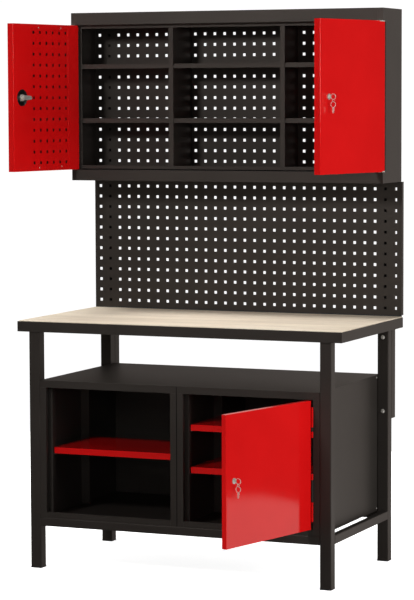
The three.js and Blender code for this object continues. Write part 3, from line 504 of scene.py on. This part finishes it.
# Black strip at the foot of the cabinet floor's stop lip: painted shade for the shadow line along the ledge under
# the upper doors
low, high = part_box("upper_cabinet_floor")
stop_front = low.y / MM + FASCIA_RETURN
ledge_shade_foot = low.z / MM + FLOOR_FASCIA
shade_strip_mesh = block(
    "upper_door_ledge_shade",
    (low.x / MM + FASCIA_RETURN, stop_front - DOOR_LEDGE_SHADE_THICK, ledge_shade_foot),
    (high.x / MM - FASCIA_RETURN, stop_front, ledge_shade_foot + DOOR_LEDGE_SHADE_HEIGHT),
)
finish_piece("upper_door_ledge_shade", shade_strip_mesh, "bench", "black_plastic", Matrix.Scale(MM, 4), "black_rubber")

# Joint between the two lower boxes, drawn as a black strip over it: painted shade for the dark line of the gap
low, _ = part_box("lower_right_inner_wall")
_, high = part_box("lower_left_inner_wall")
seam = (low.x + high.x) / 2 / MM
seam_shade_mesh = block(
    "box_seam_shade",
    (seam - BOX_SEAM_SHADE_WIDTH / 2, low.y / MM - BOX_SEAM_SHADE_PROUD, low.z / MM),
    (seam + BOX_SEAM_SHADE_WIDTH / 2, low.y / MM, high.z / MM),
)
finish_piece("box_seam_shade", seam_shade_mesh, "bench", "black_plastic", Matrix.Scale(MM, 4), "black_rubber")


# Uprights, with the holes of the panels carried through their front walls, and a black core inside: painted shade
# that darkens what shows through the holes
def punched_upright(side, heights):
    low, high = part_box(f"{side}_upright")
    low, high = low / MM, high / MM
    inner, outer = low.y + UPRIGHT_WALL, high.y - UPRIGHT_WALL
    left, right = low.x + UPRIGHT_WALL, high.x - UPRIGHT_WALL
    column = min(columns, key=lambda x: abs(x - (low.x + high.x) / 2))
    across = bands(low.x, high.x, [column])
    walls = [
        punched_sheet("front", across, bands(low.z, high.z, heights), low.y, inner),
        block("back", (low.x, outer, low.z), high),
        block("left", (low.x, inner, low.z), (left, outer, high.z)),
        block("right", (right, inner, low.z), (high.x, outer, high.z)),
        block("foot", (left, inner, low.z), (right, outer, low.z + UPRIGHT_WALL)),
        block("cap", (left, inner, high.z - UPRIGHT_WALL), (right, outer, high.z)),
    ]
    mesh = joined(f"{side}_upright_punched", walls)
    upright = finish_piece(f"{side}_upright_punched", mesh, "bench", "charcoal_coat", Matrix.Scale(MM, 4))
    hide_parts(f"{side}_upright")
    shade_core_mesh = block(
        f"{side}_upright_core",
        (left, inner + SHADE_CORE_BEHIND_WALL, low.z + UPRIGHT_WALL),
        (right, outer, high.z - UPRIGHT_WALL),
    )
    finish_piece(f"{side}_upright_core", shade_core_mesh, "bench", "black_plastic", Matrix.Scale(MM, 4), "black_rubber")


lower_rows = [panel_low.z / MM + LOWER_FIRST_ROW + i * PITCH for i in range(LOWER_ROWS)]
for side in ("left", "right"):
    punched_upright(side, lower_rows + rows)


# Doors: pieces are drawn with the door closed about its hinge, in millimetres, and turned with it

def door_space(joint, degrees):
    x, y, _ = joints[joint]["pos_m"]
    turn = Matrix.Rotation(math.radians(degrees), 4, "Z")
    return Matrix.Translation((x, y, 0)) @ turn @ Matrix.Scale(MM, 4)


# Liner behind the wide lips of an upper door, with a black sheet behind its holes: painted shade that darkens the
# holes
def perforated_liner(name, reach, space, lock_x):
    free_edge = abs(lock_x) + UPPER_LOCK_FROM_EDGE
    mouth_from = UPPER_HINGE_EDGE + UPPER_HINGE_LIP
    mouth_to = free_edge - UPPER_LOCK_LIP
    ends = sorted([reach * (mouth_from - LINER_OVERLAP), reach * (mouth_to + LINER_OVERLAP)])
    columns = centred(reach * (mouth_from + mouth_to) / 2, LINER_COLUMNS)
    low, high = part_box(f"{name}_liner")
    rows = centred((low.z + high.z) / 2 / MM, LINER_ROWS)
    back = UPPER_FACE + UPPER_DOOR_THICK - DOOR_SHEET - FIT
    mesh = punched_sheet(
        f"{name}_liner_punched",
        bands(ends[0], ends[1], columns),
        bands(low.z / MM, high.z / MM, rows),
        back - LINER_SHEET,
        back,
    )
    piece = finish_piece(f"{name}_liner_punched", mesh, f"{name}_door_body", "red_coat", space)
    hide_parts(f"{name}_liner")
    shade_sheet_back = back - LINER_SHEET - SHADE_SHEET_BEHIND_LINER
    shade_sheet = block(
        f"{name}_liner_shade_sheet",
        (ends[0], shade_sheet_back - SHADE_SHEET_THICK, low.z / MM),
        (ends[1], shade_sheet_back, high.z / MM),
    )
    finish_piece(f"{name}_liner_shade_sheet", shade_sheet, f"{name}_door_body", "black_plastic", space)


# Bored plates on the ends of an upper door at its pivots, each with a narrow skirt over the face
def pivot_plates(name, reach, space):
    low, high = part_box(f"{name}_door")
    front = UPPER_FACE - FIT
    bore = arc(PIVOT_PLATE_BORE, 2 * math.pi, 0, 24)[:-1]
    for level, length in PIVOT_PLATE_LENGTHS.items():
        sides = (reach * (UPPER_HINGE_EDGE + FIT), reach * (UPPER_HINGE_EDGE + length))
        left, right = min(sides), max(sides)
        back = front + PIVOT_PLATE_DEPTH
        outline = [(left, front), (right, front), (right, back), (left, back)]
        flat = plate("flat", [outline, bore], PIVOT_PLATE_THICK, 0.1)
        end = high.z / MM if level == "high" else low.z / MM
        away = 1 if level == "high" else -1
        flat.transform(Matrix.Translation((0, 0, end + away * PIVOT_PLATE_THICK / 2)))
        heights = sorted([end - away * PIVOT_PLATE_SKIRT, end])
        skirt = block("skirt", (left, front, heights[0]), (right, UPPER_FACE, heights[1]))
        mesh = joined(f"{name}_{level}_pivot_plate", [flat, skirt])
        finish_piece(f"{name}_{level}_pivot_plate", mesh, f"{name}_door_body", "bright_chrome", space)


# Rivets that hold the liner to the end lips
def liner_rivets(name, reach, space):
    low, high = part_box(f"{name}_door")
    back = UPPER_FACE + UPPER_DOOR_THICK
    profile = [(0, back + 0.8), (1.5, back + 0.7), (2.3, back + 0.3), (RIVET_RADIUS, back), (0, back)]
    rivets = []
    for x in RIVET_PLACES:
        for z in (low.z / MM + RIVET_FROM_END, high.z / MM - RIVET_FROM_END):
            rivet = turned("rivet", profile, 16)
            rivet.transform(Matrix.Translation((reach * x, 0, z)))
            rivets.append(rivet)
    mesh = joined(f"{name}_liner_rivets", rivets)
    finish_piece(f"{name}_liner_rivets", mesh, f"{name}_door_body", "bright_chrome", space)


# Rosette and barrel of a lock, with its nut inside the door
def lock_pieces(name, place, face, thick):
    end = face + thick + CAM_BEHIND_PAN - FIT
    outer = face - FIT
    bore = PLUG_RADIUS + FIT
    body = f"{name}_door_body"
    profile = [
        (bore, outer - ROSETTE_THICK + 0.6),
        (bore + 0.2, outer - ROSETTE_THICK),
        (ROSETTE_RADIUS - 1.2, outer - ROSETTE_THICK),
        (ROSETTE_RADIUS - 0.4, outer - ROSETTE_THICK + 0.4),
        (ROSETTE_RADIUS, outer - ROSETTE_THICK + 1.2),
        (ROSETTE_RADIUS, outer),
        (BARREL_RADIUS, outer),
        (BARREL_RADIUS, end - 0.5),
        (BARREL_RADIUS - 0.5, end),
        (bore, end),
    ]
    barrel = turned_ring("barrel", profile)
    piece = finish_piece(f"{name}_lock_barrel", barrel, body, "bright_chrome", place)
    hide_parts(f"{name}_lock")
    nut_end = end - 0.7
    nut_profile = [
        (BARREL_RADIUS, nut_end - NUT_THICK),
        (NUT_RADIUS - 1, nut_end - NUT_THICK),
        (NUT_RADIUS, nut_end - NUT_THICK + 1),
        (NUT_RADIUS, nut_end - 1),
        (NUT_RADIUS - 1, nut_end),
        (BARREL_RADIUS, nut_end),
    ]
    finish_piece(f"{name}_lock_nut", turned_ring("nut", nut_profile, 6), body, "bright_chrome", place)


# Dished cup from the face sheet to the hole in an upper door's lip
def cup_piece(name, place, face, thick):
    seat = face + DOOR_SHEET + FIT
    rim = face + thick
    profile = [
        (BARREL_RADIUS + FIT, seat),
        (CUP_BASE_RADIUS, seat),
        (CUP_RADIUS, rim - 0.5),
        (CUP_RADIUS - 0.5, rim),
        (CUP_RADIUS - CUP_WALL, rim - 0.3),
        (CUP_BASE_RADIUS - CUP_WALL, seat + CUP_WALL + 1),
        (CUP_BASE_RADIUS - CUP_WALL - 2, seat + CUP_WALL),
        (BARREL_RADIUS + FIT, seat + CUP_WALL),
    ]
    cup = turned_ring("cup", profile, 48)
    piece = finish_piece(f"{name}_lock_dish", cup, f"{name}_door_body", "black_plastic", place)
    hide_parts(f"{name}_lock_cup")


# Plug, the cam lever and the screw that holds it, and a black plate painted on the plug as the shade of its keyway
def cam_pieces(name, place, face, thick, reach, length):
    front = face - FIT - ROSETTE_THICK
    cam_front = face + thick + CAM_BEHIND_PAN
    body = f"{name}_cam_body"
    plug_profile = [
        (0, front + 0.1),
        (PLUG_RADIUS - 0.5, front + 0.1),
        (PLUG_RADIUS, front + 0.6),
        (PLUG_RADIUS, cam_front),
        (0, cam_front),
    ]
    tip_radius = CAM_TIP_WIDTH / 2
    tip = -reach * (length - tip_radius)
    turn = 0 if reach < 0 else math.pi
    outline = arc(CAM_WIDTH / 2, turn + math.pi / 2, turn + 1.5 * math.pi, 12)
    outline += arc(tip_radius, turn - math.pi / 2, turn + math.pi / 2, 12, tip)
    lever = plate("lever", [outline], CAM_GAUGE)
    lie = Matrix.Rotation(math.pi / 2, 4, "X")
    lever.transform(Matrix.Translation((0, cam_front + CAM_GAUGE / 2, 0)) @ lie)
    top = cam_front + CAM_GAUGE
    screw_profile = [
        (0, top),
        (CAM_SCREW_RADIUS, top),
        (CAM_SCREW_RADIUS, top + 1.8),
        (CAM_SCREW_RADIUS - 1, top + CAM_GAUGE),
        (0, top + CAM_GAUGE),
    ]
    parts = [turned("plug", plug_profile), lever, turned("screw", screw_profile, 24)]
    piece = finish_piece(f"{name}_cam_lever", joined(f"{name}_cam_lever", parts), body, "zinc", place)
    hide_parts(f"{name}_cam")
    # A thin black plate on the plug's face: painted shade standing in for the dark slot of the keyway
    half_wide = KEY_BLADE_WIDTH / 2
    half_thick = KEY_GAUGE / 2 - 0.1
    keyway_shade = block("keyway_shade", (-half_thick, front, -half_wide), (half_thick, front + 0.3, half_wide))
    finish_piece(f"{name}_keyway", keyway_shade, body, "black_plastic", place)


# A key standing upright, with a loop for its bow and a notched blade along +Y
def upright_key():
    half = KEY_BLADE_WIDTH / 2
    start = math.asin(half / KEY_BOW_RADIUS)
    tip = KEY_BOW_RADIUS + KEY_NECK + KEY_BLADE_LENGTH
    outline = arc(KEY_BOW_RADIUS, math.pi / 2 + start, 2.5 * math.pi - start, 36)
    outline += [(half, tip - 12), (half - 1.6, tip - 10.5), (half - 0.6, tip - 8.5), (half - 2.2, tip - 6)]
    outline += [(half - 0.8, tip - 4), (half - 2.5, tip), (-half + 1, tip), (-half, tip - 1.5)]
    loop = arc(KEY_BOW_RADIUS - KEY_RIM, 2 * math.pi, 0, 36)[:-1]
    key = plate("key", [outline, loop], KEY_GAUGE)
    key.transform(Matrix.Rotation(math.pi / 2, 4, "Y"))
    return key


# The key in the lock, and the ring with the spare key that hangs from its loop
def key_pieces(name, place, face):
    bow = face - FIT - ROSETTE_THICK - KEY_NECK - KEY_BOW_RADIUS
    inside = KEY_BOW_RADIUS - KEY_RIM
    key = upright_key()
    key.transform(Matrix.Translation((0, bow, 0)))
    piece = finish_piece(f"{name}_key_in_lock", key, f"{name}_cam_body", "bright_chrome", place)
    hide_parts(f"{name}_key")
    steps = [2 * math.pi * i / 12 for i in range(12)]
    wire = [(RING_RADIUS + RING_WIRE * math.cos(t), RING_WIRE * math.sin(t)) for t in steps]
    ring = turned_ring("ring", wire, 40)
    spare = upright_key()
    hang = -RING_RADIUS + RING_WIRE / 2 - inside
    spare.transform(Matrix.Translation((0, 0, hang)) @ Matrix.Rotation(-math.pi / 2, 4, "X"))
    mesh = joined(f"{name}_key_ring", [ring, spare])
    mesh.transform(Matrix.Translation((0, bow, -inside + FIT + RING_WIRE - RING_RADIUS)))
    piece = finish_piece(f"{name}_key_ring", mesh, f"{name}_spare_key_body", "bright_chrome", place)
    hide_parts(f"{name}_spare_key")


# Each door: name, opening angle, which way it reaches, its face, thickness and the length of its cam
DOORS = [
    ("upper_left", -LEFT_OPEN, 1, UPPER_FACE, UPPER_DOOR_THICK, UPPER_CAM_LENGTH),
    ("upper_right", RIGHT_OPEN, -1, UPPER_FACE, UPPER_DOOR_THICK, UPPER_CAM_LENGTH),
    ("lower", LOWER_OPEN, -1, LOWER_FACE, LOWER_DOOR_THICK, LOWER_CAM_LENGTH),
]
for name, degrees, reach, face, thick, cam_length in DOORS:
    space = door_space(f"{name}_door_hinge", degrees)
    lock = space.inverted() @ Vector(joints[f"{name}_cam_turn"]["pos_m"])
    place = space @ Matrix.Translation((lock.x, 0, lock.z))
    lock_pieces(name, place, face, thick)
    cam_pieces(name, place, face, thick, reach, cam_length)
    if name != "lower":
        cup_piece(name, place, face, thick)
        perforated_liner(name, reach, space, lock.x)
        liner_rivets(name, reach, space)
        pivot_plates(name, reach, space)
    if name != "upper_left":
        key_pieces(name, place, face)


# Bolts through the rear legs: domed head on a washer, nut behind
def bolt_piece(node):
    low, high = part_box(node)
    centre = (low + high) / 2 / MM
    front, back = low.y / MM, high.y / MM
    head = front + BOLT_HEAD_HEIGHT
    seat = back - BOLT_NUT_HEIGHT
    head_profile = [
        (0, front + 0.9),
        (2.6, front + 0.9),
        (3, front + 0.1),
        (4.2, front + 0.5),
        (6, front + 1.9),
        (7, front + 3.4),
        (7.2, head - 0.3),
        (BOLT_WASHER_RADIUS, head - 0.3),
        (BOLT_WASHER_RADIUS, head),
        (BOLT_RADIUS, head),
        (BOLT_RADIUS, seat),
    ]
    nut_profile = [
        (BOLT_RADIUS, seat),
        (7, seat),
        (7.4, seat + 0.7),
        (7.4, back - 0.7),
        (7, back),
        (0, back),
    ]
    mesh = joined(f"{node}_turned", [turned("head", head_profile), turned("nut", nut_profile, 6)])
    place = Matrix.Scale(MM, 4) @ Matrix.Translation((centre.x, 0, centre.z))
    piece = finish_piece(f"{node}_turned", mesh, "bench", "zinc", place)
    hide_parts(node)


for side in ("left", "right"):
    for level in ("low", "high"):
        bolt_piece(f"{side}_{level}_bolt")

# Screws from the cabinet's right side into the rear leg's edge
side_low, side_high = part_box("lower_right_side")
leg_low, leg_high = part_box("leg_rear_right")
SCREW_PROFILE = [(0, 0), (SCREW_RADIUS, 0), (SCREW_RADIUS - 0.3, 0.8), (1.6, 1.4), (0, 1.5)]
screws = []
for height in SCREW_HEIGHTS:
    screw = turned("screw", SCREW_PROFILE, 16)
    face = Vector((side_high.x / MM, leg_low.y / MM - SCREW_BEFORE_LEG, height))
    screw.transform(Matrix.Translation(face) @ Matrix.Rotation(-math.pi / 2, 4, "Z"))
    screws.append(screw)
finish_piece("side_screws", joined("side_screws", screws), "bench", "zinc", Matrix.Scale(MM, 4))

# Plastic caps round the ends of the legs
skin = Vector((FOOT_SKIN, FOOT_SKIN, 0)) * MM
for corner in ("front_left", "front_right", "rear_left", "rear_right"):
    low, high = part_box(f"leg_{corner}")
    top = Vector((high.x, high.y, FOOT_HEIGHT * MM))
    mesh = block(f"foot_{corner}", low - skin, top + skin)
    cap = finish_piece(f"foot_{corner}", mesh, "bench", "black_plastic")
    soften(cap, 1.2, 3)

# Camera at the photograph's viewpoint, placed from the middle of the bench at the front of the panel
CAMERA_FROM_BENCH = Vector((3.4391, -8.3643, 1.6310))
CAMERA_AZIMUTH = 23.213
CAMERA_PITCH = 4.589
CAMERA_ROLL = 0.208
CAMERA_LENS = 151.55
board_low, board_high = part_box("worktop_board")
bench = Vector(((board_low.x + board_high.x) / 2, panel_low.y, 0))
camera_data = bpy.data.cameras.new("camera")
camera_data.lens = CAMERA_LENS
camera_data.sensor_width = 36
camera_data.clip_end = 100
camera = bpy.data.objects.new("camera", camera_data)
scene.collection.objects.link(camera)
camera.matrix_world = (
    Matrix.Translation(bench + CAMERA_FROM_BENCH)
    @ Matrix.Rotation(math.radians(CAMERA_AZIMUTH), 4, "Z")
    @ Matrix.Rotation(math.radians(90 - CAMERA_PITCH), 4, "X")
    @ Matrix.Rotation(-math.radians(CAMERA_ROLL), 4, "Z")
)
scene.camera = camera

# Pale floor
FLOOR_HALF = 3.1
FLOOR_GLOW = 0.85
floor_corners = [(x * FLOOR_HALF, y * FLOOR_HALF, 0) for x, y in ((-1, -1), (1, -1), (1, 1), (-1, 1))]
floor_mesh = mesh_of("floor", floor_corners, [(0, 1, 2, 3)])
floor = bpy.data.objects.new("floor", floor_mesh)
scene.collection.objects.link(floor)
floor_material, nodes, links, shader = new_material("floor")
shader.inputs["Base Color"].default_value = (0.9, 0.9, 0.9, 1)
shader.inputs["Roughness"].default_value = 0.9
shader.inputs["Emission Color"].default_value = (1, 1, 1, 1)
shader.inputs["Emission Strength"].default_value = FLOOR_GLOW
floor_mesh.materials.append(floor_material)
floor.visible_diffuse = False
floor.visible_glossy = False

# Soft studio light: white for the camera, a white backdrop behind for reflections, and little elsewhere
WHITE_SURROUND = 1.05
DIM_SURROUND = 0.08
BACKDROP_SHARE = 0.8
LEFT_SHARE = 0.55
WARM_WHITE = (1, 0.88, 0.81)
world = bpy.data.worlds.new("studio")
scene.world = world
world.use_nodes = True
nodes = world.node_tree.nodes
links = world.node_tree.links
surround = nodes["Background"]
direction = nodes.new("ShaderNodeTexCoord")
axes = nodes.new("ShaderNodeSeparateXYZ")
depth = nodes.new("ShaderNodeMapRange")
depth.inputs["From Min"].default_value = 0.75
depth.inputs["From Max"].default_value = 0.95
depth.inputs["To Max"].default_value = BACKDROP_SHARE
side = nodes.new("ShaderNodeMapRange")
side.inputs["From Min"].default_value = -0.5
side.inputs["From Max"].default_value = 0.2
side.inputs["To Min"].default_value = LEFT_SHARE
path = nodes.new("ShaderNodeLightPath")
strength = nodes.new("ShaderNodeMapRange")
strength.inputs["To Min"].default_value = DIM_SURROUND
strength.inputs["To Max"].default_value = WHITE_SURROUND
tint = nodes.new("ShaderNodeMix")
tint.data_type = "RGBA"
tint.inputs["A"].default_value = (*WARM_WHITE, 1)
tint.inputs["B"].default_value = (1, 1, 1, 1)


def combine(operation, first, second):
    node = nodes.new("ShaderNodeMath")
    node.operation = operation
    links.new(first, node.inputs[0])
    links.new(second, node.inputs[1])
    return node.outputs["Value"]


links.new(direction.outputs["Generated"], axes.inputs["Vector"])
links.new(axes.outputs["Y"], depth.inputs["Value"])
links.new(axes.outputs["X"], side.inputs["Value"])
backdrop = combine("MULTIPLY", depth.outputs["Result"], side.outputs["Result"])
mirrored = combine("MAXIMUM", path.outputs["Is Glossy Ray"], path.outputs["Is Transmission Ray"])
reflected = combine("MULTIPLY", mirrored, backdrop)
seen = combine("MAXIMUM", path.outputs["Is Camera Ray"], reflected)
links.new(seen, strength.inputs["Value"])
links.new(path.outputs["Is Camera Ray"], tint.inputs["Factor"])
links.new(strength.outputs["Result"], surround.inputs["Strength"])
links.new(tint.outputs["Result"], surround.inputs["Color"])


def area_light(name, place, target, width, height, energy, mirrored=True):
    data = bpy.data.lights.new(name, "AREA")
    data.shape = "RECTANGLE"
    data.size = width
    data.size_y = height
    data.energy = energy
    light = bpy.data.objects.new(name, data)
    light.location = place
    light.rotation_euler = (Vector(target) - Vector(place)).to_track_quat("-Z", "Y").to_euler()
    light.visible_camera = False
    light.visible_glossy = mirrored
    scene.collection.objects.link(light)


RIGHT_ENERGY = 157
FRONT_ENERGY = 47
TOP_ENERGY = 190
FILL_ENERGY = 55
LOW_ENERGY = 5
BOUNCE_ENERGY = 10
LEFT_ENERGY = 55
BACK_ENERGY = 50
area_light("right", (4.2, -1.0, 1.7), (0, 0, 1.1), 3, 2.5, RIGHT_ENERGY, False)
area_light("front", (-0.85, -3.3, 2.75), (0, 0, 1.2), 0.5, 0.5, FRONT_ENERGY)
area_light("top", (-1.0, -0.1, 5), (-1.0, -0.1, 0), 2, 1.4, TOP_ENERGY)
area_light("fill", (3.3, -8.2, 2.2), (0, 0, 1.0), 1.5, 1.5, FILL_ENERGY)
area_light("low", (1.47, 0.3, 0.03), (1.47, 0.3, 3), 1.15, 1.2, LOW_ENERGY)
area_light("bounce", (0.1, -1.9, 0.05), (0, -0.2, 0.9), 2.4, 1.0, BOUNCE_ENERGY, False)
area_light("left", (-4.2, 0.4, 1.7), (0, 0.4, 1.1), 3, 2.5, LEFT_ENERGY, False)
area_light("back", (-0.5, 4.4, 2.0), (0, 0, 1.1), 3, 2.5, BACK_ENERGY, False)
